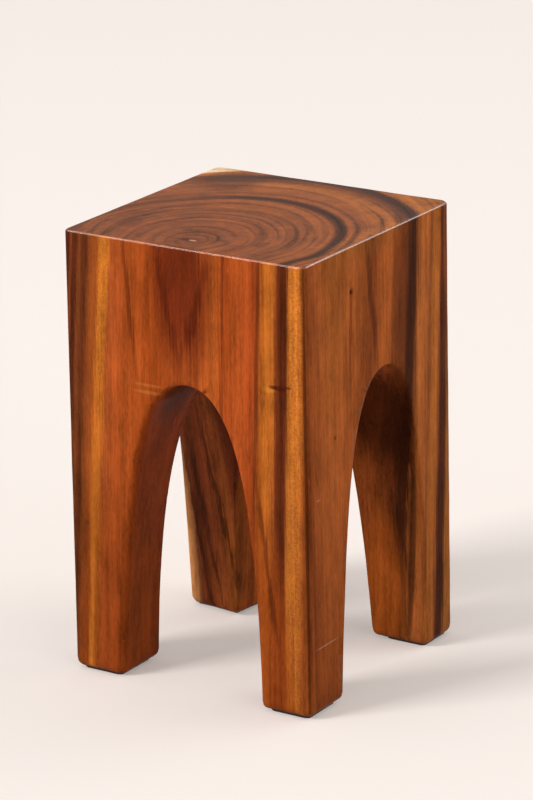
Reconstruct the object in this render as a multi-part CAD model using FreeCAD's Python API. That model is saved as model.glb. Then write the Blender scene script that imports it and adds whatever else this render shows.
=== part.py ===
"""A side table carved from one squared length of log, with an arch cut in from each side, on four felt pads.

Millimetres. +X runs to the right along the front face, +Y runs to the rear and +Z is up.
The origin lies on the floor under the middle of the table.
"""

import FreeCAD
import Part
import math
import os
from collections import namedtuple

# The block
TABLE_HEIGHT = 500.0
TOP_WIDTH = 302.0
TOP_DEPTH = 298.0
SIDE_FLARE = 2.0
CORNER_RADIUS = 7.0
REAR_RIGHT_CORNER_RADIUS = 12.0
TOP_EDGE_RADIUS = 3.0
FOOT_EDGE_RADIUS = 6.0

# Legs at the floor: widths are measured along X on the front or rear face, depths along Y on a side face
FRONT_LEFT_LEG_WIDTH = 65.0
FRONT_RIGHT_LEG_WIDTH = 63.5
REAR_LEFT_LEG_WIDTH = 82.0
REAR_RIGHT_LEG_WIDTH = 71.0
FRONT_LEFT_LEG_DEPTH = 69.0
FRONT_RIGHT_LEG_DEPTH = 67.0
REAR_LEFT_LEG_DEPTH = 79.0
REAR_RIGHT_LEG_DEPTH = 62.0

# Wood left above the crown of each arch, and how far the side arches dip where they meet in the middle
FRONT_APRON = 152.0
REAR_APRON = 154.0
LEFT_APRON = 155.0
RIGHT_APRON = 150.0
VAULT_DIP = 5.0

# Hand-cut differences between the arches: crowns off centre, walls that lean in, a side wall that splays out, and
# a left wall that is hollowed and stands more upright towards the middle
FRONT_CROWN_SHIFT = 3.0
RIGHT_CROWN_SHIFT = 7.5
FRONT_ARCH_LEFT_LEAN = 13.0
FRONT_ARCH_RIGHT_LEAN = 4.0
REAR_ARCH_LEFT_LEAN = 26.0
REAR_ARCH_RIGHT_LEAN = 22.0
LEFT_ARCH_FRONT_LEAN = 1.0
LEFT_ARCH_REAR_LEAN = 17.0
RIGHT_ARCH_FRONT_LEAN = 14.0
RIGHT_ARCH_REAR_LEAN = 3.5
LEFT_ARCH_SPLAY = 18.0
LEFT_WALL_HOLLOW = 9.0
LEFT_WALL_UPRIGHT = 21.0
ARCH_FULLNESS = 0.67

# Rolled edges where the arches open: how deep a roll turns in, and how far it opens the arch at foot and crown
ROLL_DEPTH = 8.0
CRISP_ROLL = 4.0
FRONT_LEFT_ROLL = 10.0
REAR_LEFT_ROLL = 15.0
REAR_ARCH_ROLL = 6.0

# Felt pads
PAD_THICKNESS = 2.0
PAD_MARGIN = 1.0
PAD_CORNER_RADIUS = 5.0

# Worked out from the sizes above
FOOT_LEVEL = PAD_THICKNESS
PAD_INSET = FOOT_EDGE_RADIUS + PAD_MARGIN
BASE_WIDTH = TOP_WIDTH + 2 * SIDE_FLARE
BASE_DEPTH = TOP_DEPTH + 2 * SIDE_FLARE

# Working allowances: how far a cut runs below the feet, and how level an edge has to lie to count as level
CUT_MARGIN = 20.0
FLAT_TOLERANCE = 0.01

# The sections that a roll is drawn through, in degrees of its quarter turn, and where it ends outside the face, as
# shares of its depth and of its opening
ROLL_ANGLES = [0, 30, 60]
ROLL_OVERRUN = 0.3
ROLL_END_OPENING = 1.2

V = FreeCAD.Vector
Arch = namedtuple("Arch", "left right left_lean right_lean crown height left_roll right_roll crown_roll")


def half_width(z):
    """Distance from the middle to the left and right faces at a height."""
    return BASE_WIDTH / 2 - SIDE_FLARE * (z - FOOT_LEVEL) / (TABLE_HEIGHT - FOOT_LEVEL)


def half_depth(z):
    """Distance from the middle to the front and rear faces at a height."""
    return BASE_DEPTH / 2 - SIDE_FLARE * (z - FOOT_LEVEL) / (TABLE_HEIGHT - FOOT_LEVEL)


def on_front(u, depth, z):
    """A point under the front face, that far in from it."""
    return V(u, depth - half_depth(z), z)


def on_rear(u, depth, z):
    """A point under the rear face, that far in from it."""
    return V(u, half_depth(z) - depth, z)


def on_left(u, depth, z):
    """A point under the left face, that far in from it."""
    return V(depth - half_width(z), u, z)


def on_right(u, depth, z):
    """A point under the right face, that far in from it."""
    return V(half_width(z) - depth, u, z)


def across_middle(u, depth, z):
    """A point on the upright plane through the middle of the block, from front to rear."""
    return V(0, u, z)


def along_middle(u, depth, z):
    """A point on the upright plane through the middle of the block, from left to right."""
    return V(u, 0, z)


def rectangle(width, depth, level):
    """A closed rectangle about the origin, at a height."""
    x, y = width / 2, depth / 2
    corners = [V(-x, -y, level), V(x, -y, level), V(x, y, level), V(-x, y, level)]
    return Part.makePolygon(corners + corners[:1])


def lies_at(edge, level):
    """True for an edge that lies in the level plane at that height."""
    box = edge.BoundBox
    return abs(box.ZMin - level) < FLAT_TOLERANCE and abs(box.ZMax - level) < FLAT_TOLERANCE


def is_upright(edge):
    """True for an edge that runs from the feet to the top of the block."""
    return not lies_at(edge, FOOT_LEVEL) and not lies_at(edge, TABLE_HEIGHT)


def is_rear_right(edge):
    """True for an edge at the rear right corner of the block."""
    return edge.CenterOfMass.x > 0 and edge.CenterOfMass.y > 0


def squared_log():
    """The block before carving: flared sides, rounded corners, softened top and foot edges."""
    base = rectangle(BASE_WIDTH, BASE_DEPTH, FOOT_LEVEL)
    top = rectangle(TOP_WIDTH, TOP_DEPTH, TABLE_HEIGHT)
    block = Part.makeLoft([base, top], True, True)
    worn_corner = [e for e in block.Edges if is_upright(e) and is_rear_right(e)]
    block = block.makeFillet(REAR_RIGHT_CORNER_RADIUS, worn_corner)
    other_corners = [e for e in block.Edges if is_upright(e) and not is_rear_right(e)]
    block = block.makeFillet(CORNER_RADIUS, other_corners)
    block = block.makeFillet(TOP_EDGE_RADIUS, [e for e in block.Edges if lies_at(e, TABLE_HEIGHT)])
    return block.makeFillet(FOOT_EDGE_RADIUS, [e for e in block.Edges if lies_at(e, FOOT_LEVEL)])


def bezier(points):
    """A Bezier curve through its end points, drawn by the points between them."""
    curve = Part.BezierCurve()
    curve.setPoles(points)
    return curve.toShape()


def flank(place, depth, foot, lean, crown, height, side):
    """One side of an arch outline: up past the eased foot, then in a leaning curve to the level crown."""
    eased = foot + side * FOOT_EDGE_RADIUS
    wall_start = FOOT_LEVEL + FOOT_EDGE_RADIUS
    rise = ARCH_FULLNESS * (height - wall_start)
    reach = ARCH_FULLNESS * (foot - crown)
    below = Part.makeLine(place(eased, depth, FOOT_LEVEL - CUT_MARGIN), place(eased, depth, FOOT_LEVEL))
    ease = bezier([
        place(eased, depth, FOOT_LEVEL),
        place(foot, depth, FOOT_LEVEL),
        place(foot, depth, wall_start),
    ])
    wall = bezier([
        place(foot, depth, wall_start),
        place(foot - side * lean, depth, wall_start + rise),
        place(crown + reach, depth, height),
        place(crown, depth, height),
    ])
    return [below, ease, wall]


def outline(arch, place, depth, opened):
    """The closed outline of an arch at a depth, opened by a share of its rolls."""
    left = arch.left - opened * arch.left_roll
    right = arch.right + opened * arch.right_roll
    height = arch.height + opened * arch.crown_roll
    low = FOOT_LEVEL - CUT_MARGIN
    edges = flank(place, depth, left, arch.left_lean, arch.crown, height, -1)
    edges += flank(place, depth, right, arch.right_lean, arch.crown, height, 1)
    sill = Part.makeLine(
        place(left - FOOT_EDGE_RADIUS, depth, low),
        place(right + FOOT_EDGE_RADIUS, depth, low),
    )
    return Part.Wire(Part.__sortEdges__(edges + [sill]))


def mouth(arch, place):
    """The rolled opening of an arch, from just outside its face to the full depth of the roll."""
    turns = [math.radians(angle) for angle in ROLL_ANGLES]
    stations = [(1 - math.sin(turn), 1 - math.cos(turn)) for turn in turns]
    stations.append((-ROLL_OVERRUN, ROLL_END_OPENING))
    sections = [outline(arch, place, ROLL_DEPTH * depth, opened) for depth, opened in stations]
    return Part.makeLoft(sections, True, False)


def passage(start, start_place, end, end_place):
    """The straight-walled way between the inner ends of two outlines."""
    sections = [outline(arch, place, ROLL_DEPTH, 0.0) for arch, place in ((start, start_place), (end, end_place))]
    return Part.makeLoft(sections, True, True)


def front_arch():
    """The arch of the front face."""
    return Arch(
        left=FRONT_LEFT_LEG_WIDTH - BASE_WIDTH / 2,
        right=BASE_WIDTH / 2 - FRONT_RIGHT_LEG_WIDTH,
        left_lean=FRONT_ARCH_LEFT_LEAN,
        right_lean=FRONT_ARCH_RIGHT_LEAN,
        crown=FRONT_CROWN_SHIFT,
        height=TABLE_HEIGHT - FRONT_APRON,
        left_roll=FRONT_LEFT_ROLL,
        right_roll=CRISP_ROLL,
        crown_roll=CRISP_ROLL,
    )


def rear_arch():
    """The arch of the rear face, a little narrower and more pointed than the front one."""
    return Arch(
        left=REAR_LEFT_LEG_WIDTH - BASE_WIDTH / 2,
        right=BASE_WIDTH / 2 - REAR_RIGHT_LEG_WIDTH,
        left_lean=REAR_ARCH_LEFT_LEAN,
        right_lean=REAR_ARCH_RIGHT_LEAN,
        crown=0.0,
        height=TABLE_HEIGHT - REAR_APRON,
        left_roll=REAR_ARCH_ROLL,
        right_roll=REAR_ARCH_ROLL,
        crown_roll=REAR_ARCH_ROLL,
    )


def left_arch():
    """The arch of the left face, seen along X with the front leg first."""
    front_wall = FRONT_LEFT_LEG_DEPTH - BASE_DEPTH / 2
    rear_wall = BASE_DEPTH / 2 - REAR_LEFT_LEG_DEPTH
    return Arch(
        left=front_wall,
        right=rear_wall,
        left_lean=LEFT_ARCH_FRONT_LEAN,
        right_lean=LEFT_ARCH_REAR_LEAN,
        crown=(front_wall + rear_wall) / 2,
        height=TABLE_HEIGHT - LEFT_APRON,
        left_roll=CRISP_ROLL,
        right_roll=REAR_LEFT_ROLL,
        crown_roll=CRISP_ROLL,
    )


def right_arch():
    """The arch of the right face, seen along X with the front leg first."""
    front_wall = FRONT_RIGHT_LEG_DEPTH - BASE_DEPTH / 2
    rear_wall = BASE_DEPTH / 2 - REAR_RIGHT_LEG_DEPTH
    return Arch(
        left=front_wall,
        right=rear_wall,
        left_lean=RIGHT_ARCH_FRONT_LEAN,
        right_lean=RIGHT_ARCH_REAR_LEAN,
        crown=(front_wall + rear_wall) / 2 + RIGHT_CROWN_SHIFT,
        height=TABLE_HEIGHT - RIGHT_APRON,
        left_roll=CRISP_ROLL,
        right_roll=CRISP_ROLL,
        crown_roll=CRISP_ROLL,
    )


def vault_end(arch, splay):
    """What a side arch has narrowed to in the middle of the block, just under the crowns of front and rear."""
    height = TABLE_HEIGHT - max(FRONT_APRON, REAR_APRON) - VAULT_DIP
    return arch._replace(right=arch.right - splay, crown=arch.crown - splay / 2, height=height)


def vault_middle(front, rear):
    """What the front and rear arches open to where they meet, with the left wall hollowed out between its legs."""
    return front._replace(
        left=(front.left + rear.left) / 2 - LEFT_WALL_HOLLOW,
        right=(front.right + rear.right) / 2,
        left_lean=(front.left_lean + rear.left_lean) / 2 - LEFT_WALL_UPRIGHT,
        right_lean=(front.right_lean + rear.right_lean) / 2,
        crown=(front.crown + rear.crown) / 2,
        height=(front.height + rear.height) / 2,
    )


def carved_block():
    """The log with an arch cut in to the middle from each of its four sides."""
    front, rear, left, right = front_arch(), rear_arch(), left_arch(), right_arch()
    middle = vault_middle(front, rear)
    cuts = [
        passage(middle, along_middle, front, on_front),
        passage(middle, along_middle, rear, on_rear),
        passage(vault_end(left, LEFT_ARCH_SPLAY), across_middle, left, on_left),
        passage(vault_end(right, 0.0), across_middle, right, on_right),
        mouth(front, on_front),
        mouth(rear, on_rear),
        mouth(left, on_left),
        mouth(right, on_right),
    ]
    block = squared_log()
    for cut in cuts:
        block = block.cut(cut)
    return block.Solids[0]


def felt_pad(outer_x, inner_x, outer_y, inner_y):
    """A pad with rounded corners under a foot, between an outer corner of the block and the inner walls of the leg."""
    x_sides = sorted([outer_x - math.copysign(PAD_INSET, outer_x), inner_x + math.copysign(PAD_INSET, outer_x)])
    y_sides = sorted([outer_y - math.copysign(PAD_INSET, outer_y), inner_y + math.copysign(PAD_INSET, outer_y)])
    width, depth = x_sides[1] - x_sides[0], y_sides[1] - y_sides[0]
    pad = Part.makeBox(width, depth, PAD_THICKNESS, V(x_sides[0], y_sides[0], 0))
    uprights = [e for e in pad.Edges if not lies_at(e, 0) and not lies_at(e, PAD_THICKNESS)]
    return pad.makeFillet(PAD_CORNER_RADIUS, uprights)


def felt_pads():
    """The four pads by node name, each kept inside the narrowest part of its foot."""
    front, rear, left, right = front_arch(), rear_arch(), left_arch(), right_arch()
    middle = vault_middle(front, rear)
    left_wall = min(front.left, middle.left, rear.left)
    right_wall = max(front.right, middle.right, rear.right)
    left_rear_wall = max(left.right, left.right - LEFT_ARCH_SPLAY)
    x, y = BASE_WIDTH / 2, BASE_DEPTH / 2
    return {
        "felt_pad_front_left": felt_pad(-x, left_wall, -y, left.left),
        "felt_pad_front_right": felt_pad(x, right_wall, -y, right.left),
        "felt_pad_rear_left": felt_pad(-x, left_wall, y, left_rear_wall),
        "felt_pad_rear_right": felt_pad(x, right_wall, y, right.right),
    }


if __name__ == "__main__":
    os.makedirs("parts", exist_ok=True)
    nodes = {"carved_block": carved_block(), **felt_pads()}
    for node, shape in nodes.items():
        print(node, "volume", round(shape.Volume), "mm3")
        shape.exportStep(f"parts/{node}.step")
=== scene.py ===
# %% [markdown]
# # A side table carved from one log
# The real table is a squared length of log stood on its end. An arch is cut in from each of the four sides,
# so a leg is left at every corner, and the growth rings show on top. Its solids come in as a fixed frame at
# real size. This lesson gives them their wood, their felt pads, a floor, light and a camera.

# %% Bring in the table
import math

import bmesh
import bpy
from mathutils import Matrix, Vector


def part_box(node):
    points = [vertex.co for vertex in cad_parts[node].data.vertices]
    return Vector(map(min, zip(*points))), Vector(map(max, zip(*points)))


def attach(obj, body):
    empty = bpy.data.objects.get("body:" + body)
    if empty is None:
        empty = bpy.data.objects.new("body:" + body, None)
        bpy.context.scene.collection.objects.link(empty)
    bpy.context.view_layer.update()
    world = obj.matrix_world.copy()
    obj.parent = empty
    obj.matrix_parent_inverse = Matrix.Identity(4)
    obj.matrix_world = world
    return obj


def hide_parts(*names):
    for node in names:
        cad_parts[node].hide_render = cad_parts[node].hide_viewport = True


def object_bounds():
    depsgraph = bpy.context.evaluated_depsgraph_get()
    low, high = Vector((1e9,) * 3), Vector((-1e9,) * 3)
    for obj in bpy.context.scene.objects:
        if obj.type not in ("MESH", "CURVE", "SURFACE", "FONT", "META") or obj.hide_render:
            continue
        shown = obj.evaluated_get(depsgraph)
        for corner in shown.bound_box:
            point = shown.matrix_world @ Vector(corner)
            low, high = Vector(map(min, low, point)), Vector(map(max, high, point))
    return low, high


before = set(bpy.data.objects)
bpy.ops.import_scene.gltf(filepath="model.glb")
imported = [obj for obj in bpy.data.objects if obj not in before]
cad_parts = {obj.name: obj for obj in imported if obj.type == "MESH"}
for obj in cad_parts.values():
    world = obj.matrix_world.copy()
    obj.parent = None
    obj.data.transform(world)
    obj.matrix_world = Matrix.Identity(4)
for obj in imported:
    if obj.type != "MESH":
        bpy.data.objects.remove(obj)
cad_low, cad_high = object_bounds()
print("solids:", sorted(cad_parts), "box in mm:", [round(1000 * side) for side in cad_high - cad_low])

# %% [markdown]
# ## A few small tools
# Blender works in metres and in linear light. Sizes below are written in millimetres and colours as the hex
# codes that a screen shows, so one value and one function turn them into what Blender wants. A new material
# comes with nodes of its own, which a second function clears. Nodes could be added and linked line by line,
# but one helper that takes a node's options and what feeds it keeps a material readable.

# %% Units, colours and nodes
MM = 0.001


def linear(code):
    """Turns an sRGB hex colour such as #a05528 into linear red, green, blue and alpha."""
    # The numbers below are those of the sRGB standard's own curve.
    shown = [int(code[start:start + 2], 16) / 255 for start in (1, 3, 5)]
    light = [part / 12.92 if part <= 0.04045 else ((part + 0.055) / 1.055) ** 2.4 for part in shown]
    return (*light, 1.0)


def empty_tree(owner):
    """Gives a new material or world its nodes, clears them and hands back the tree."""
    owner.use_nodes = True
    owner.node_tree.nodes.clear()
    return owner.node_tree


def add(tree, kind, feeds=None, stops=None, **options):
    """Adds one node. Options are its settings, feeds fill inputs by name or place, stops fill its ramp."""
    made = tree.nodes.new("ShaderNode" + kind)
    for name, value in options.items():
        setattr(made, name, value)
    sockets = [socket for socket in made.inputs if socket.enabled]
    for name, value in (feeds or {}).items():
        target = sockets[name] if isinstance(name, int) else next(s for s in sockets if s.name == name)
        if isinstance(value, bpy.types.Node):
            value = next(socket for socket in value.outputs if socket.enabled)
        if isinstance(value, bpy.types.NodeSocket):
            tree.links.new(value, target)
        else:
            target.default_value = value
    if stops:
        ramp = made.color_ramp.elements
        while len(ramp) < len(stops):
            ramp.new(1.0)
        for element, (position, code) in zip(ramp, stops):
            element.position = position
            element.color = linear(code)
    return made


print("plain brown in linear light:", [round(part, 3) for part in linear("#a05528")[:3]])

# %% [markdown]
# ## Raintree heartwood
# The log is a reddish tropical heartwood with bold dark growth zones. On the end grain they are rings round
# the pith, which lies near the front edge, and on the sides the same zones show as upright stripes.
# Painting each side by itself would break the stripes at the edges, so the wood is one solid pattern: the
# colour of a point depends on how far it is from the pith, and every cut through the log shows its own true
# figure.

# %% A set of figures drawn out along the grain
# Each figure is a noise with its own cell size in mm, across the grain and along it, and its fineness.
# Real pores are about 0.2 mm wide, too fine to show in the render, so fibres and flecks are drawn coarser.
FIGURES = {
    "waver": (85, 330, 2.0),
    "feather": (2.2, 170, 3.0),
    "streaks": (3.4, 280, 4.0),
    "fibres": (1.0, 8, 3.0),
    "mottle": (24, 55, 3.0),
    "flame": (9, 34, 4.0),
    "flecks": (2.6, 2.2, 2.0),
}
wood = bpy.data.materials.new("raintree_heartwood_satin_lacquer")
tree = empty_tree(wood)
coordinates = add(tree, "TexCoord")
place = coordinates.outputs["Object"]
facing = coordinates.outputs["Normal"]
figure = {}
for name, (across, along, fineness) in FIGURES.items():
    cells_per_metre = [1 / (size * MM) for size in (across, across, along)]
    drawn_out = add(tree, "Mapping", {"Vector": place, "Scale": cells_per_metre})
    figure[name] = add(tree, "TexNoise", {"Vector": drawn_out, "Scale": 1.0, "Detail": fineness})
print("figures in the wood:", ", ".join(figure))

# %% [markdown]
# The pith isn't upright: it leans to the left and to the front on its way down, and the rings widen a
# little towards the butt of the tree. They are oval, wander and crowd together in front of the pith. The
# fine feather moves each fibre bundle in or out by a millimetre or so, so no zone ends in a clean line.

# %% How far a point is from the pith
PITH_TOP = (-7 * MM, -117 * MM, 500 * MM)
PITH_FLOOR = (-31 * MM, -133 * MM, 0)
OVAL = 0.83
BUTT_SWELL = 0.1
CROWDING = 1.09
CROWDED_FROM = -25 * MM
CROWDED_TO = 20 * MM
WAVER_REACH = 9 * MM
FEATHER_REACH = 9 * MM
# A noise swings about a half, so a half is taken off where it has to push both ways.
NOISE_MIDDLE = (0.5, 0.5, 0.5)

lean = [(top - floor) / PITH_TOP[2] for top, floor in zip(PITH_TOP, PITH_FLOOR)]
log = add(tree, "Mapping", {
    "Vector": place, "Location": PITH_TOP, "Rotation": (-lean[1], lean[0], 0), "Scale": (1, 1 / OVAL, 1),
}, vector_type="TEXTURE")
log_parts = add(tree, "SeparateXYZ", {0: log})
waver = figure["waver"].outputs["Color"]
centred = add(tree, "VectorMath", {0: waver, 1: NOISE_MIDDLE}, operation="SUBTRACT")
wandering = add(tree, "VectorMath", {0: centred, 1: (WAVER_REACH,) * 3, 2: log}, operation="MULTIPLY_ADD")
across_log = add(tree, "VectorMath", {0: wandering, 1: (1, 1, 0)}, operation="MULTIPLY")
reach = add(tree, "VectorMath", {0: across_log}, operation="LENGTH")
swell = add(tree, "Math", {0: log_parts.outputs["Z"], 1: -BUTT_SWELL, 2: 1.0}, operation="MULTIPLY_ADD")
crowd = add(tree, "MapRange", {
    "Value": log_parts.outputs["Y"], "From Min": CROWDED_FROM, "From Max": CROWDED_TO,
    "To Min": CROWDING, "To Max": 1.0,
}, interpolation_type="SMOOTHSTEP")
even_ring = add(tree, "Math", {0: reach, 1: swell}, operation="DIVIDE")
smooth_ring = add(tree, "Math", {0: even_ring, 1: crowd}, operation="MULTIPLY")
feathered = add(tree, "Math", {
    0: figure["feather"], 1: FEATHER_REACH, 2: smooth_ring,
}, operation="MULTIPLY_ADD")
ring = add(tree, "Math", {0: feathered, 1: FEATHER_REACH / 2}, operation="SUBTRACT")
print("pith leans", [round(1000 * part) for part in lean[:2]], "mm per metre")

# %% [markdown]
# The zones are listed from the heart outwards, in mm from the pith, once for the right of the log and once
# for the left, because a tree doesn't grow alike all round. The two lists melt into each other behind the
# pith.

# %% Dark and pale growth zones
LOG_REACH = 290
RIGHT_ZONES = [
    (0, "#8a3c16"), (60, "#ae5422"), (68, "#a24a1c"), (72, "#5e2610"), (75, "#a2481c"),
    (90, "#aa4e20"), (110, "#9e441c"), (115, "#5e2812"), (119, "#a4521e"), (124, "#b46222"),
    (136, "#ac5c24"), (141, "#6a2e16"), (147, "#4c200f"), (153, "#642c16"), (157, "#b06228"),
    (169, "#a85828"), (179, "#984c20"), (182, "#84401c"), (186, "#a85626"), (197, "#ac5828"),
    (202, "#8a461e"), (212, "#763a1a"), (219, "#422010"), (225, "#462210"), (231, "#ae602e"),
    (240, "#ae602e"), (244, "#864824"), (248, "#b0642e"), (255, "#b0622e"), (259, "#54291a"),
    (266, "#52281a"), (270, "#a8642e"),
]
LEFT_ZONES = [
    (0, "#8a3c16"), (44, "#984418"), (50, "#a24a1c"), (76, "#a04a1e"), (93, "#a24e24"),
    (97, "#b86424"), (106, "#b86424"), (111, "#964a1e"), (121, "#7c3e1c"), (126, "#5c2c16"),
    (130, "#643018"), (134, "#703a1c"), (138, "#5c2a16"), (143, "#4e2214"), (146, "#7c3e1e"),
    (150, "#4e2214"), (156, "#5c2c18"), (162, "#7a3c1e"), (172, "#6c321a"), (180, "#4a2210"),
    (186, "#642e18"), (194, "#401e14"), (204, "#642e1a"), (214, "#3c1a10"), (226, "#5a2a18"),
    (238, "#421f16"), (250, "#70361e"), (268, "#844424"),
]
# The line from the pith to a point has an X of -1 straight to the left and 1 straight to the right. The left
# list holds up to the first of these and the right list from the second on.
LEFT_TURN = -0.55
RIGHT_TURN = -0.25
ring_share = add(tree, "Math", {0: ring, 1: LOG_REACH * MM}, operation="DIVIDE")
side_zones = [
    add(tree, "ValToRGB", {0: ring_share}, stops=[(mm / LOG_REACH, code) for mm, code in listed])
    for listed in (LEFT_ZONES, RIGHT_ZONES)
]
outward = add(tree, "VectorMath", {0: across_log}, operation="NORMALIZE")
to_the_right = add(tree, "SeparateXYZ", {0: outward}).outputs["X"]
rightness = add(tree, "MapRange", {
    "Value": to_the_right, "From Min": LEFT_TURN, "From Max": RIGHT_TURN,
}, interpolation_type="SMOOTHSTEP")
zones = add(tree, "Mix", {"Factor": rightness, "A": side_zones[0], "B": side_zones[1]}, data_type="RGBA")
print("growth zones:", len(LEFT_ZONES), "on the left and", len(RIGHT_ZONES), "on the right")

# %% [markdown]
# Golden ribbons are no pigment. The fibres of this wood slant one way in one layer and the other way in the
# next, so some layers throw light back. That shows where a face is cut along a radius of the log, fades
# where it is cut along the rings, and is gone on the end grain. So the ribbon's strength comes from the
# angle between the face and the line to the pith, and fine cross flecks break it up. The ribbons are weaker
# in the legs, and the arches, which face away from the light, don't show them.

# %% Golden ribbons
# The greys are strengths: black is no ribbon and white is a full one.
RIGHT_RIBBONS = [
    (56, "#000000"), (61, "#707070"), (66, "#000000"), (118, "#202020"), (123, "#707070"),
    (136, "#606060"), (141, "#000000"), (155, "#303030"), (159, "#f0f0f0"), (172, "#e0e0e0"),
    (178, "#404040"), (186, "#202020"), (190, "#b0b0b0"), (200, "#a0a0a0"), (204, "#000000"),
    (228, "#000000"), (232, "#909090"), (240, "#404040"), (252, "#b0b0b0"), (259, "#000000"),
    (267, "#000000"), (271, "#a0a0a0"), (278, "#404040"), (285, "#000000"),
]
LEFT_RIBBONS = [
    (60, "#000000"), (68, "#404040"), (72, "#000000"), (93, "#101010"), (97, "#e0e0e0"),
    (105, "#f0f0f0"), (110, "#303030"), (131, "#101010"), (135, "#404040"), (138, "#000000"),
    (158, "#000000"), (166, "#303030"), (174, "#000000"),
]
side_ribbons = [
    add(tree, "ValToRGB", {0: ring_share}, stops=[(mm / LOG_REACH, code) for mm, code in listed])
    for listed in (LEFT_RIBBONS, RIGHT_RIBBONS)
]
ribbon = add(tree, "Mix", {"Factor": rightness, "A": side_ribbons[0], "B": side_ribbons[1]}, data_type="RGBA")
print("ribbon zones:", len(LEFT_RIBBONS), "on the left and", len(RIGHT_RIBBONS), "on the right")

# %% Where the ribbons shine
RIBBON_GOLD = "#cc7a2a"
RIBBON_FADES_FROM = 420 * MM
RIBBON_FADES_TO = 280 * MM
LEFT_LEGS_KEEP = 0.25
RIGHT_LEGS_KEEP = 0.8
FLECKS_FROM = 0.4
FLECKS_TO = 0.58
DULLEST_FLECK = 0.25
# A face nearer to the middle than the first belongs to an arch, and one beyond the second to an outer side.
ARCHES_WITHIN = 138 * MM
SIDES_FROM = 147 * MM
along_radius = add(tree, "VectorMath", {0: facing, 1: outward}, operation="DOT_PRODUCT")
upward = add(tree, "SeparateXYZ", {0: facing}).outputs["Z"]
flat_sawn = add(tree, "Math", {0: along_radius, 1: along_radius}, operation="MULTIPLY")
end_grain = add(tree, "Math", {0: upward, 1: upward}, operation="MULTIPLY")
seen_flat = add(tree, "Math", {0: flat_sawn, 1: end_grain}, operation="MAXIMUM")
seen_slanting = add(tree, "Math", {0: 1.0, 1: seen_flat}, operation="SUBTRACT")
shine = add(tree, "Math", {0: ribbon, 1: seen_slanting}, operation="MULTIPLY")
broken = add(tree, "MapRange", {
    "Value": figure["flecks"], "From Min": FLECKS_FROM, "From Max": FLECKS_TO, "To Min": DULLEST_FLECK,
})
height = add(tree, "SeparateXYZ", {0: place}).outputs["Z"]
kept = add(tree, "MapRange", {"Value": rightness, "To Min": LEFT_LEGS_KEEP, "To Max": RIGHT_LEGS_KEEP})
fading = add(tree, "MapRange", {
    "Value": height, "From Min": RIBBON_FADES_TO, "From Max": RIBBON_FADES_FROM, "To Min": kept,
})
strong = add(tree, "Math", {0: shine, 1: fading}, operation="MULTIPLY")
spread = add(tree, "SeparateXYZ", {0: add(tree, "VectorMath", {0: place}, operation="ABSOLUTE")})
outermost = add(tree, "Math", {0: spread.outputs["X"], 1: spread.outputs["Y"]}, operation="MAXIMUM")
outside = add(tree, "MapRange", {"Value": outermost, "From Min": ARCHES_WITHIN, "From Max": SIDES_FROM})
flecked = add(tree, "Math", {0: broken, 1: outside}, operation="MULTIPLY")
gold = add(tree, "Math", {0: strong, 1: flecked}, operation="MULTIPLY")
ribboned = add(tree, "Mix", {"Factor": gold, "A": zones, "B": linear(RIBBON_GOLD)}, data_type="RGBA")
print("gold that is left in the left legs:", LEFT_LEGS_KEEP, "and in the right legs:", RIGHT_LEGS_KEEP)

# %% [markdown]
# End grain drinks more of the finish than the sides do, so on top the same zones are browner and closer in
# tone, and the dark rings fade towards the left. The zones of the end grain get a list of their own. At the
# rear left corner the saw just reached the pale sapwood under the bark, with an orange rim inside it.

# %% End grain and sapwood
TOP_ZONES = [
    (0, "#5e2e18"), (12, "#7c4222"), (60, "#864724"), (64, "#743c22"), (68, "#864724"),
    (98, "#844724"), (103, "#6c3a20"), (107, "#854824"), (137, "#8c4c25"), (142, "#4c2716"),
    (147, "#3c1e10"), (151, "#4c2716"), (155, "#8c4c25"), (160, "#854723"), (163, "#5e321c"),
    (166, "#854824"), (196, "#985628"), (205, "#824824"), (213, "#5a301c"), (218, "#402014"),
    (226, "#442618"), (230, "#9a5828"), (250, "#a66028"), (285, "#a66028"),
]
TOP_PLAIN = "#7a4122"
FADED_LEFT = 0.45
END_GRAIN_FROM = 0.5
END_GRAIN_FULL = 0.95
# Where a band starts and is full, in mm from the middle towards the corner, and its colour.
SAPWOOD_BANDS = [(172, 181, "#b4662c"), (183, 188, "#e6c49c")]
on_top = add(tree, "MapRange", {"Value": end_grain, "From Min": END_GRAIN_FROM, "From Max": END_GRAIN_FULL})
top_rings = add(tree, "ValToRGB", {0: ring_share}, stops=[(mm / LOG_REACH, code) for mm, code in TOP_ZONES])
boldness = add(tree, "MapRange", {"Value": rightness, "To Min": FADED_LEFT})
top_colour = add(tree, "Mix", {"Factor": boldness, "A": linear(TOP_PLAIN), "B": top_rings}, data_type="RGBA")
colour = add(tree, "Mix", {"Factor": on_top, "A": ribboned, "B": top_colour}, data_type="RGBA")
towards_corner = (-math.sqrt(0.5), math.sqrt(0.5), 0)
corner_way = add(tree, "VectorMath", {0: place, 1: towards_corner}, operation="DOT_PRODUCT")
for inner, outer, code in SAPWOOD_BANDS:
    pale = add(tree, "MapRange", {"Value": corner_way, "From Min": inner * MM, "From Max": outer * MM})
    colour = add(tree, "Mix", {"Factor": pale, "A": colour, "B": linear(code)}, data_type="RGBA")
print("sapwood starts", SAPWOOD_BANDS[-1][0], "mm from the middle")
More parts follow.
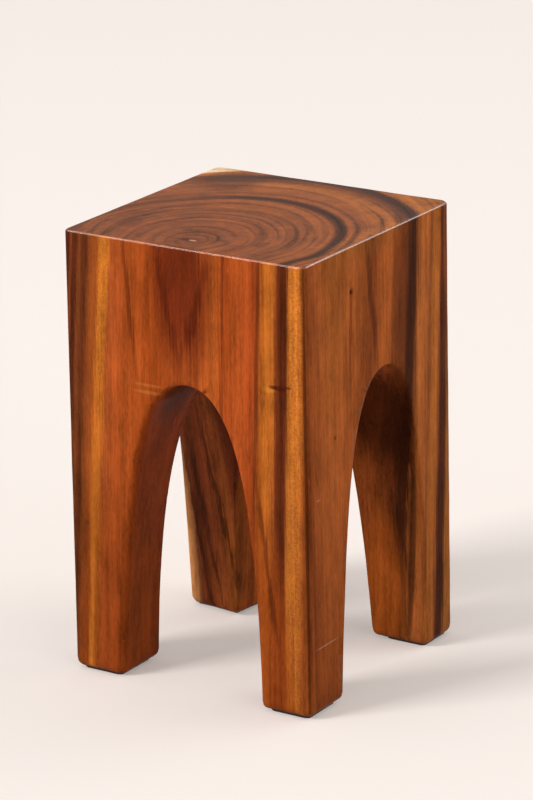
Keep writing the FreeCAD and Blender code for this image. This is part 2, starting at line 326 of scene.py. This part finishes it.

# %% [markdown]
# Stains and scars make this log one of a kind: a dark red heart under the front edge, clouds on the top,
# the pith with its small check, a pin hole, a torn slit and some scratches. Each could be painted by hand,
# but a stretched ball of colour in the solid pattern does it too: its place and half sizes are in mm, it
# leans by so many degrees about X and Y, and it fades at its skin. Stains drift with the fibres, so they
# have no outline. Scars and a few clean dark lines don't. Some balls are painted light and shade rather
# than stains: painted shade under the crown of the front arch, high inside the rear right leg and along the
# rounded near upright edge, painted shade over darker wood on the inner wall of the rear left leg, a
# painted pool of light low inside the rear right leg, and painted light over pale sapwood on the left edge
# of the rear left leg.

# %% Stains, with painted light and shade
# Each has its place, its half sizes, its lean, its colour and its strength.
STAINS_AND_PAINTED_LIGHT_AND_SHADE = [
    # The red heart under the front edge, with the two lines of its V
    ((-2, -154, 480), (54, 14, 160), (0, 0), "#622211", 0.85),
    ((-20, -150, 434), (6, 9, 78), (0, -13), "#4e1a0c", 0.5),
    ((15, -150, 434), (6, 9, 78), (0, 17), "#4e1a0c", 0.5),
    # Tones of the rear left leg and the front left leg, with painted light and shade among them
    # Darker wood on the inner wall of the rear left leg, deepened by painted shade where the front left leg
    # shades it
    ((-88, 56, 130), (42, 34, 200), (0, 0), "#6a3018", 0.45),
    ((-85, -112, 50), (54, 60, 230), (0, 0), "#843e18", 0.5),
    # Painted shade under the crown of the front arch
    ((-24, -92, 318), (44, 52, 70), (0, 0), "#4c2a18", 0.6),
    ((-112, -151, 40), (44, 10, 220), (0, 2), "#8a3c14", 0.5),
    # Pale sapwood low on the rounded left edge of the rear left leg, brightened by painted light where the
    # lamp catches it
    ((-162, 72, 0), (32, 70, 290), (0, 0), "#d08c54", 0.9),
    ((-130, -150, 40), (5, 12, 210), (0, 3), "#c87628", 0.45),
    # The near leg, painted light and shade inside the rear right leg, and its upright edge
    ((106, -151, 40), (36, 12, 230), (0, -4), "#964418", 0.85),
    # A painted pool of light low inside the rear right leg, where the lamp shines in through the front arch
    ((98, 86, 55), (32, 30, 130), (0, 0), "#a8541e", 0.9),
    # Painted shade high inside the rear right leg, where the front arch shades it
    ((108, 64, 275), (56, 48, 95), (0, 0), "#3c1a0c", 0.75),
    ((150, 142, 470), (14, 14, 130), (0, 0), "#8a4a24", 0.8),
    # Clouds on the top
    ((-102, 102, 500), (48, 52, 30), (0, 0), "#482818", 0.65),
    ((150, -20, 500), (22, 90, 25), (0, 0), "#9c5a28", 0.6),
    ((-104, -90, 500), (16, 26, 30), (0, 0), "#48241a", 0.5),
    ((67, -95, 500), (7, 15, 30), (0, 0), "#4c2616", 0.5),
    ((21, -104, 500), (10, 6, 30), (0, 0), "#4c2616", 0.5),
    ((-33, -85, 500), (8, 7, 30), (0, 0), "#4c2616", 0.5),
    # Dark streaks in the front, on the right and inside the rear left leg
    ((-68, -150, 428), (3.5, 9, 100), (0, -5.1), "#662a0e", 0.65),
    ((101, -151, 167), (4, 9, 125), (0, -7.7), "#5a2410", 0.65),
    ((152, -17, 435), (9, 7, 90), (7.9, 0), "#5a2812", 0.7),
    ((152, -59, 410), (8, 4, 70), (-3.6, 0), "#74300f", 0.6),
    ((-118, 60, 107), (4.5, 40, 150), (0, -10), "#28120b", 0.6),
    ((-132, 60, 107), (4, 40, 150), (0, -8), "#2c140c", 0.55),
    ((-98, 60, 140), (4.5, 40, 150), (0, -11), "#28120b", 0.6),
]
print("stains:", len(STAINS_AND_PAINTED_LIGHT_AND_SHADE))

# %% Scars and a painted shade line
SCARS_AND_PAINTED_SHADE = [
    # A painted shade line along the rounded near upright edge, and a clean dark line inside the rear right
    # leg
    ((150, -148, 250), (2.5, 2.5, 400), (-0.23, -0.23), "#4e2410", 0.7),
    ((138, 85, 120), (6, 25, 165), (0, 3.8), "#2c130b", 0.75),
    # The pith and its check
    ((-14, -117, 500), (10, 7, 30), (0, 0), "#3c1a10", 0.75),
    ((-6, -117.5, 500), (6, 2.6, 12), (0, 0), "#dba878", 0.85),
    ((-26, -118, 500), (40, 1.4, 10), (0, 0), "#4a2414", 0.6),
    # The pin hole, a dot under it and scratches on the right
    ((151, -57, 451), (8, 5.5, 5.5), (0, 0), "#74341a", 0.7),
    ((151, -58, 451), (8, 2.4, 3), (0, 0), "#1e0e08", 0.95),
    ((152, -93, 301), (6, 3, 3), (0, 0), "#6e2e14", 0.7),
    ((152, -116, 77), (4, 28, 0.9), (0, 0), "#d0a080", 0.6),
    ((152, -128, 242), (4, 6, 0.8), (0, 0), "#c89878", 0.45),
    # The torn slit in the front and two scratches over the arch
    ((106, -150, 363), (10, 6, 4.5), (0, 0), "#c87c30", 0.7),
    ((117, -150, 366), (14, 6, 3.2), (0, 0), "#4a1a0c", 0.85),
    ((128, -150, 368), (8, 6, 1.8), (0, 0), "#5a220e", 0.75),
    ((-43, -150, 335), (30, 6, 2.6), (0, 0), "#b87038", 0.4),
    ((-45, -150, 343), (26, 6, 2.2), (0, 0), "#b87038", 0.35),
]
print("scars:", len(SCARS_AND_PAINTED_SHADE))

# %% Stretched balls of colour
DRIFT_REACH = (16 * MM, 16 * MM, 60 * MM)
SKIN = 1.05
CORE = 0.45
streaks = figure["streaks"].outputs["Color"]
drift = add(tree, "VectorMath", {0: streaks, 1: NOISE_MIDDLE}, operation="SUBTRACT")
drifting = add(tree, "VectorMath", {0: drift, 1: DRIFT_REACH, 2: place}, operation="MULTIPLY_ADD")
for point, marks in ((drifting, STAINS_AND_PAINTED_LIGHT_AND_SHADE), (place, SCARS_AND_PAINTED_SHADE)):
    for centre, halves, leaning, code, strength in marks:
        ball = add(tree, "Mapping", {
            "Vector": point, "Location": [mm * MM for mm in centre], "Scale": [mm * MM for mm in halves],
            "Rotation": (math.radians(leaning[0]), math.radians(leaning[1]), 0),
        }, vector_type="TEXTURE")
        depth = add(tree, "VectorMath", {0: ball}, operation="LENGTH")
        inside = add(tree, "MapRange", {
            "Value": depth, "From Min": SKIN, "From Max": CORE, "To Max": strength,
        }, interpolation_type="SMOOTHSTEP")
        colour = add(tree, "Mix", {"Factor": inside, "A": colour, "B": linear(code)}, data_type="RGBA")
print("balls of colour:", len(STAINS_AND_PAINTED_LIGHT_AND_SHADE) + len(SCARS_AND_PAINTED_SHADE))

# %% [markdown]
# Between the bold zones the wood is never plain. Fine growth lines follow the rings, fibres and open pores
# run along the grain as short dark dashes, and a soft mottle drifts over everything. Each only makes the
# colour a little lighter or darker, so they are summed into one shade that the colour is multiplied by. The
# growth lines and the fibres count most. The end grain also shows the edges of the rings, and the sides
# show more of the streaks. On top of that, painted shade darkens the legs towards the floor, and a painted
# contact shadow darkens the lowest few millimetres of each foot.

# %% Growth lines and ring edges
LINE_WIDTH = 8 * MM
LINE_RUN = (110 * MM, 110 * MM, 420 * MM)
LINE_DETAIL = 4.0
LINE_RAGGEDNESS = 0.58
EDGE_SPACING = 5 * MM
EDGE_DETAIL = 2.0
EDGE_FROM = 0.36
EDGE_TO = 0.48
ring_way = add(tree, "CombineXYZ", {"X": smooth_ring})
line_drift = add(tree, "VectorMath", {0: place, 1: [1 / run for run in LINE_RUN]}, operation="MULTIPLY")
lines_at = add(tree, "VectorMath", {
    0: ring_way, 1: (1 / LINE_WIDTH, 0, 0), 2: line_drift,
}, operation="MULTIPLY_ADD")
figure["growth_lines"] = add(tree, "TexNoise", {
    "Vector": lines_at, "Scale": 1.0, "Detail": LINE_DETAIL, "Roughness": LINE_RAGGEDNESS,
})
edges_at = add(tree, "VectorMath", {
    0: ring_way, 1: (1 / EDGE_SPACING, 0, 0), 2: line_drift,
}, operation="MULTIPLY_ADD")
edge_noise = add(tree, "TexNoise", {"Vector": edges_at, "Scale": 1.0, "Detail": EDGE_DETAIL})
figure["ring_edges"] = add(tree, "MapRange", {
    "Value": edge_noise, "From Min": EDGE_FROM, "From Max": EDGE_TO,
}, interpolation_type="SMOOTHSTEP")
print("growth lines are about", LINE_WIDTH / MM, "mm wide and ring edges", EDGE_SPACING / MM, "mm apart")

# %% All shades in one
SIDE_SHADES = {"growth_lines": 1.2, "streaks": 0.8, "fibres": 1.0, "mottle": 0.8, "flame": 0.6}
TOP_SHADES = {
    "ring_edges": 0.45, "growth_lines": 1.6, "streaks": 0.4, "fibres": 1.2, "mottle": 0.9, "flame": 0.6,
}
DARKEST_SHADE = 0.2


def summed_shade(shades):
    """Adds up figures round an even shade of 1, each by its strength."""
    total = 1 - sum(shades.values()) / 2
    for name, strength in shades.items():
        total = add(tree, "Math", {0: figure[name], 1: strength, 2: total}, operation="MULTIPLY_ADD")
    return add(tree, "Math", {0: total, 1: DARKEST_SHADE}, operation="MAXIMUM")


shade = add(tree, "Mix", {"Factor": on_top, "A": summed_shade(SIDE_SHADES), "B": summed_shade(TOP_SHADES)})
print("shades on the sides:", SIDE_SHADES, "and on top:", TOP_SHADES)

# %% Painted shade low down and a painted contact shadow at the feet
# Painted shade: the legs get darker towards the floor.
LOW_SHADE_LEVEL = 0.85
LOW_SHADE_FROM = 60 * MM
LOW_SHADE_TO = 380 * MM
# A painted contact shadow: the lowest few millimetres of each foot are darkened.
CONTACT_SHADOW_LEVEL = 0.3
CONTACT_SHADOW_FROM = 2.5 * MM
CONTACT_SHADOW_TO = 6 * MM
# Painted shade towards the floor, then the painted contact shadow at the soles
painted_low_shade = add(tree, "MapRange", {
    "Value": height, "From Min": LOW_SHADE_FROM, "From Max": LOW_SHADE_TO, "To Min": LOW_SHADE_LEVEL,
}, interpolation_type="SMOOTHSTEP")
painted_contact_shadow = add(tree, "MapRange", {
    "Value": height, "From Min": CONTACT_SHADOW_FROM, "From Max": CONTACT_SHADOW_TO, "To Min": CONTACT_SHADOW_LEVEL,
})
lower_shade = add(tree, "Math", {0: painted_low_shade, 1: painted_contact_shadow}, operation="MULTIPLY")
whole_shade = add(tree, "Math", {0: shade, 1: lower_shade}, operation="MULTIPLY")
figured = add(tree, "VectorMath", {0: colour, "Scale": whole_shade}, operation="SCALE")
print("the butt end keeps", LOW_SHADE_LEVEL, "of its light and the soles", CONTACT_SHADOW_LEVEL)

# %% [markdown]
# The lacquer is satin: it lifts the colour and leaves only a soft glare at a low angle. It sinks into the
# pores a little, so its face isn't quite even. Hands and cloths have polished the rounded edge of the top,
# which shines as a thin bright line, so a glossier coat lies where the surface turns between level and
# upright.

# %% Satin lacquer
SMOOTHEST = 0.2
ROUGHEST = 0.32
MOTTLE_FROM = 0.3
MOTTLE_TO = 0.7
PORE_DEPTH = 0.1 * MM
PORE_STRENGTH = 0.3
LACQUER_IOR = 1.5
SATIN_GLARE = 0.012
POLISHED_ROUGHNESS = 0.12
# The polish by the upward part of the surface's direction, which is 0 on the sides and 1 on the top.
POLISH_FROM = 0.35
POLISH_FULL = 0.6
POLISH_WANES = 0.95
POLISH_ENDS = 0.995
roughness = add(tree, "MapRange", {
    "Value": figure["mottle"], "From Min": MOTTLE_FROM, "From Max": MOTTLE_TO,
    "To Min": SMOOTHEST, "To Max": ROUGHEST,
})
pores = add(tree, "Bump", {"Height": figure["fibres"], "Distance": PORE_DEPTH, "Strength": PORE_STRENGTH})
off_upright = add(tree, "MapRange", {"Value": upward, "From Min": POLISH_FROM, "From Max": POLISH_FULL})
off_level = add(tree, "MapRange", {"Value": upward, "From Min": POLISH_ENDS, "From Max": POLISH_WANES})
polish = add(tree, "Math", {0: off_upright, 1: off_level}, operation="MULTIPLY")
finish = add(tree, "BsdfPrincipled", {
    "Base Color": figured, "Roughness": roughness, "Normal": pores, "IOR": LACQUER_IOR,
    "Specular IOR Level": SATIN_GLARE, "Coat Weight": polish, "Coat Roughness": POLISHED_ROUGHNESS,
    "Coat IOR": LACQUER_IOR,
})
add(tree, "OutputMaterial", {"Surface": finish})
print("nodes in the wood:", len(tree.nodes))

# %% [markdown]
# ## The carved block
# The solid from the frame is true in size but its faces are perfectly flat. A saw, a gouge and a sander
# leave faces that rise and fall by a few tenths of a millimetre. A bump in the material would not show
# along the edges, so the faces are cut into a lattice that can really be moved. Slicing keeps every edge as
# it is, where a remesh would leave teeth along the arches.

# %% A lattice over the block
LATTICE = 11 * MM
# Points closer than the first are one point. Faces thinner than the second would show as dark specks and go.
SAME_POINT = 0.001 * MM
SLIVER = 0.03 * MM


def sliced_copy(node, name, spacing):
    """Copies a solid of the frame as a new object and slices its faces into a lattice, at the same shape."""
    sheet = bmesh.new()
    sheet.from_mesh(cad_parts[node].data)
    bmesh.ops.remove_doubles(sheet, verts=sheet.verts, dist=SAME_POINT)
    low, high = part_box(node)
    for axis in range(3):
        slices = round((high[axis] - low[axis]) / spacing)
        square_to = [float(other == axis) for other in range(3)]
        for number in range(1, slices):
            spot = low + (high - low) * number / slices
            everything = [*sheet.verts, *sheet.edges, *sheet.faces]
            bmesh.ops.bisect_plane(sheet, geom=everything, plane_co=spot, plane_no=square_to)
    bmesh.ops.dissolve_degenerate(sheet, edges=sheet.edges, dist=SLIVER)
    mesh = bpy.data.meshes.new(name)
    sheet.to_mesh(mesh)
    sheet.free()
    made = bpy.data.objects.new(name, mesh)
    bpy.context.collection.objects.link(made)
    return made


block = sliced_copy("carved_block", "carved_table", LATTICE)
print("faces:", len(block.data.polygons))

# %% [markdown]
# The feet are worn rounder than the solid's 6 mm edge. A new bevel would cut up the lattice, so the points
# that are there move instead: near the floor each level of a leg is drawn in towards the middle of its
# foot, by as much as a larger rounding lies inside the smaller one.

# %% Feet worn round
SOLID_EDGE = 6 * MM
WORN_EDGE = 9.5 * MM
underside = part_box("carved_block")[0].z


def set_back(rise, radius):
    """How far a rounded foot edge lies inside the face of the leg, so far above the underside."""
    below = max(radius - rise, 0.0)
    return radius - math.sqrt(radius ** 2 - below ** 2)


near_floor = [point.co for point in block.data.vertices if point.co.z < underside + WORN_EDGE]
for side_x, side_y in ((-1, -1), (1, -1), (-1, 1), (1, 1)):
    worn = [spot for spot in near_floor if spot.x * side_x > 0 and spot.y * side_y > 0]
    flat = [spot for spot in worn if spot.z < underside + SAME_POINT]
    for axis in (0, 1):
        ends = [pick(spot[axis] for spot in flat) for pick in (min, max)]
        middle = sum(ends) / 2
        half = (ends[1] - ends[0]) / 2 + SOLID_EDGE
        for spot in worn:
            rise = spot.z - underside
            drawn_in = (half - set_back(rise, WORN_EDGE)) / (half - set_back(rise, SOLID_EDGE))
            spot[axis] = middle + (spot[axis] - middle) * drawn_in
    print("foot", side_x, side_y, "points:", len(worn))

# %% [markdown]
# Now the lattice can move. A cloud pattern as long as a stroke of a gouge pushes the faces in, and never
# out, so the table stays in the space of its solid. Sculpting by hand would do it too, but not the same way
# each time. The flat soles stay as they are, because the felt is stuck to them, and the groins inside are
# kept as sharp edges.

# %% Waves left by hand tools
WAVE_DEPTH = 0.5 * MM
WAVE_LENGTH = 45 * MM
WAVE_DETAIL = 1
SOLE_HEIGHT = 1 * MM
GROIN_ANGLE = 35
# A displacement with this as its middle only ever pushes in.
ONLY_INWARDS = 1.0
waves = bpy.data.textures.new("tool_waves", "CLOUDS")
waves.noise_scale = WAVE_LENGTH
waves.noise_depth = WAVE_DETAIL
above_feet = block.vertex_groups.new(name="above_feet")
moved = [point.index for point in block.data.vertices if point.co.z > underside + SOLE_HEIGHT]
above_feet.add(moved, 1.0, "REPLACE")
worked = block.modifiers.new("worked_by_hand", "DISPLACE")
worked.texture = waves
worked.texture_coords = "LOCAL"
worked.strength = WAVE_DEPTH
worked.mid_level = ONLY_INWARDS
worked.vertex_group = "above_feet"
block.data.shade_smooth()
block.data.set_sharp_from_angle(angle=math.radians(GROIN_ANGLE))
block.data.materials.append(wood)
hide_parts("carved_block")
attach(block, "root")
print("waves push", len(moved), "points in, by at most", WAVE_DEPTH / MM, "mm")

# %% [markdown]
# ## Felt pads
# A self-adhesive pad of pressed wool felt sits under each foot. Felt has no weave: it is a mat of fibres,
# so its face is a fine speckle and its cut edge is a little ragged. The solid pad gets small even faces and
# a fine ragged move inwards, which keeps it in the space that the frame gives it.

# %% Pressed wool felt
# A wool fibre is about 0.03 mm thick, too fine to show in the render, so the speckle is drawn coarser.
FIBRE_WIDTH = 0.6 * MM
FIBRE_DETAIL = 4.0
FIBRE_STOPS = [(0.3, "#1e130e"), (0.7, "#3c2b20")]
FUZZ_DEPTH = 0.3 * MM
FUZZ_STRENGTH = 0.6
FELT_ROUGHNESS = 0.95
FELT_SHEEN = 0.3
FELT_GLARE = 0.2
felt = bpy.data.materials.new("pressed_wool_felt")
felt_tree = empty_tree(felt)
felt_place = add(felt_tree, "TexCoord").outputs["Object"]
fibres = add(felt_tree, "TexNoise", {"Vector": felt_place, "Scale": 1 / FIBRE_WIDTH, "Detail": FIBRE_DETAIL})
felt_colour = add(felt_tree, "ValToRGB", {0: fibres}, stops=FIBRE_STOPS)
fuzz = add(felt_tree, "Bump", {"Height": fibres, "Distance": FUZZ_DEPTH, "Strength": FUZZ_STRENGTH})
felt_face = add(felt_tree, "BsdfPrincipled", {
    "Base Color": felt_colour, "Normal": fuzz, "Roughness": FELT_ROUGHNESS, "Sheen Weight": FELT_SHEEN,
    "Specular IOR Level": FELT_GLARE,
})
add(felt_tree, "OutputMaterial", {"Surface": felt_face})
print("nodes in the felt:", len(felt_tree.nodes))

# %% A ragged pad under each foot
PAD_FACE_SIZE = 0.8 * MM
RAG_DEPTH = 0.35 * MM
RAG_WIDTH = 1.5 * MM
rags = bpy.data.textures.new("felt_rags", "CLOUDS")
rags.noise_scale = RAG_WIDTH


def even_copy(node, name, face_size):
    """Copies a solid of the frame as a new object covered with small even faces."""
    made = bpy.data.objects.new(name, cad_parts[node].data.copy())
    bpy.context.collection.objects.link(made)
    made.data.materials.clear()
    remesh = made.modifiers.new("even_faces", "REMESH")
    remesh.mode = "VOXEL"
    remesh.voxel_size = face_size
    remesh.use_smooth_shade = True
    return made


for foot in ("front_left", "front_right", "rear_left", "rear_right"):
    pad = even_copy("felt_pad_" + foot, "felt_" + foot, PAD_FACE_SIZE)
    ragged = pad.modifiers.new("ragged", "DISPLACE")
    ragged.texture = rags
    ragged.texture_coords = "LOCAL"
    ragged.strength = RAG_DEPTH
    ragged.mid_level = ONLY_INWARDS
    pad.data.materials.append(felt)
    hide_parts("felt_pad_" + foot)
    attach(pad, "root")
    print(pad.name, "stands for felt_pad_" + foot)

# %% [markdown]
# ## Floor, light and camera
# A wide floor of pale studio paper fills the picture. It is matt, so it shows the table's shadow and no
# mirror image. Real paper takes the lamps' full light and goes white in a photograph, but here that light
# would also bleach the wood. So a soft glow is added to the paper where the eye looks straight at it, the
# table only gets a duller bounce from it, and the shadow stays.

# %% Floor
# The radius is in metres.
FLOOR_RADIUS = 40.0
FLOOR_SIDES = 128
FLOOR_SEEN = "#e2dbd6"
FLOOR_BOUNCE = "#b9b2ac"
FLOOR_GLOW = 0.3


def straight_rays(own_tree):
    """Adds a switch that is 1 where the eye, a gloss or a clear body looks straight at a surface, else 0."""
    path = add(own_tree, "LightPath")
    sharp = add(own_tree, "Math", {
        0: path.outputs["Is Glossy Ray"], 1: path.outputs["Is Transmission Ray"],
    }, operation="MAXIMUM")
    return add(own_tree, "Math", {0: path.outputs["Is Camera Ray"], 1: sharp}, operation="MAXIMUM")


bpy.ops.mesh.primitive_circle_add(vertices=FLOOR_SIDES, radius=FLOOR_RADIUS, fill_type="NGON")
floor = bpy.context.object
floor.name = "floor"
paper = bpy.data.materials.new("pale_studio_paper")
paper_tree = empty_tree(paper)
seen = straight_rays(paper_tree)
glow_share = add(paper_tree, "Math", {0: seen, 1: FLOOR_GLOW}, operation="MULTIPLY")
paper_colour = add(paper_tree, "Mix", {
    "Factor": seen, "A": linear(FLOOR_BOUNCE), "B": linear(FLOOR_SEEN),
}, data_type="RGBA")
paper_face = add(paper_tree, "BsdfDiffuse", {"Color": paper_colour})
paper_glow = add(paper_tree, "Emission", {"Color": linear(FLOOR_SEEN), "Strength": glow_share})
paper_mix = add(paper_tree, "AddShader", {0: paper_face, 1: paper_glow})
add(paper_tree, "OutputMaterial", {"Surface": paper_mix})
floor.data.materials.append(paper)
print("floor reaches", FLOOR_RADIUS, "m")

# %% [markdown]
# The light is plain and soft: a pale room all round, a large lamp at the front left, two weaker fills at
# the right and small ones overhead and behind. The three large lamps could be small and near, but then the
# floor would be white beside them and grey elsewhere, so they stand far off. Two panels are only seen in
# the gloss: they draw bright lines along the edges of the top.

# %% Room
ROOM_COLOUR = "#fffdfb"
ROOM_STRENGTH = 0.45
BACKDROP = "#f3ece6"
room = bpy.data.worlds.new("plain_room")
bpy.context.scene.world = room
room_tree = empty_tree(room)
room_seen = straight_rays(room_tree)
room_light = add(room_tree, "Background", {"Color": linear(ROOM_COLOUR), "Strength": ROOM_STRENGTH})
room_view = add(room_tree, "Background", {"Color": linear(BACKDROP), "Strength": 1.0})
room_mix = add(room_tree, "MixShader", {0: room_seen, 1: room_light, 2: room_view})
add(room_tree, "OutputWorld", {"Surface": room_mix})
bpy.context.scene.view_settings.view_transform = "Standard"
print("room light:", ROOM_STRENGTH, "of", ROOM_COLOUR)

# %% Lamps
TOP_MIDDLE = Vector((0, 0, cad_high.z))
LAMP_WHITE = "#fffdfb"
PURE_WHITE = "#ffffff"
PEACH = "#ffc8a0"


def soft_lamp(name, spot, wide, tall, watts, code, gloss_only=False):
    """Hangs a soft lamp, its spot and sides in metres, turned to the middle of the top."""
    lamp = bpy.data.lights.new(name, "AREA")
    lamp.shape = "RECTANGLE"
    lamp.size = wide
    lamp.size_y = tall
    lamp.energy = watts
    lamp.color = linear(code)[:3]
    holder = bpy.data.objects.new(name, lamp)
    holder.location = spot
    holder.rotation_euler = (TOP_MIDDLE - holder.location).to_track_quat("-Z", "Y").to_euler()
    holder.visible_diffuse = not gloss_only
    bpy.context.collection.objects.link(holder)
    print(name, "at", spot, "m,", watts, "W")


soft_lamp("key_lamp", (-11.2, -16.5, 10.0), 8.0, 4.2, 3780, LAMP_WHITE)
soft_lamp("rear_fill_lamp", (8.7, 8.7, 5.8), 12.0, 9.0, 530, LAMP_WHITE)
soft_lamp("front_fill_lamp", (13.0, -4.5, 5.2), 10.0, 9.0, 275, LAMP_WHITE)
soft_lamp("overhead_lamp", (-1.1, -0.3, 4.0), 2.4, 2.4, 12, LAMP_WHITE)
soft_lamp("rear_lamp", (0.3, 3.1, 2.9), 1.4, 0.3, 4, PURE_WHITE)
soft_lamp("front_edge_panel", (-2.1, -1.1, 3.6), 1.0, 3.0, 140, PEACH, gloss_only=True)
soft_lamp("right_edge_panel", (1.2, 3.2, 2.4), 1.8, 0.5, 14, PURE_WHITE, gloss_only=True)

# %% [markdown]
# The camera has a long lens and stands far off, so that upright edges hardly lean together. The table isn't
# quite in the middle of the picture. The lens could be shifted for that, but a plain camera is simpler to
# reuse, so it is aimed at a point beside the middle of the table instead, and rolled by about a degree.

# %% Camera
VIEW_AZIMUTH = 33.21
VIEW_ELEVATION = 18.79
VIEW_ROLL = -1.06
VIEW_DISTANCE = 4242.8 * MM
LENS = 175.32
SENSOR_WIDTH = 36.0
VIEW_REACH = 100.0
AIM = Vector((0, 0, 250 * MM))
FRAME_SHIFT = (4.2 * MM, 39.2 * MM)

turn = math.radians(VIEW_AZIMUTH)
tilt = math.radians(VIEW_ELEVATION)
back = Vector((math.sin(turn) * math.cos(tilt), -math.cos(turn) * math.cos(tilt), math.sin(tilt)))
camera = bpy.data.cameras.new("camera")
camera.lens = LENS
camera.sensor_width = SENSOR_WIDTH
camera.clip_end = VIEW_REACH
tripod = bpy.data.objects.new("camera", camera)
bpy.context.collection.objects.link(tripod)
bpy.context.scene.camera = tripod
# The right and the up of the picture come from a camera that looks at the middle of the table.
turned = (-back).to_track_quat("-Z", "Y").to_matrix()
rolled = turned @ turned.Rotation(math.radians(VIEW_ROLL), 3, "Z")
stand = AIM + back * VIEW_DISTANCE
look_at = AIM + rolled.col[0] * FRAME_SHIFT[0] + rolled.col[1] * FRAME_SHIFT[1]
aimed = (look_at - stand).to_track_quat("-Z", "Y").to_matrix()
tripod.matrix_world = (aimed @ aimed.Rotation(math.radians(VIEW_ROLL), 3, "Z")).to_4x4()
tripod.location = stand
print("camera stands at", [round(part, 2) for part in stand], "m")
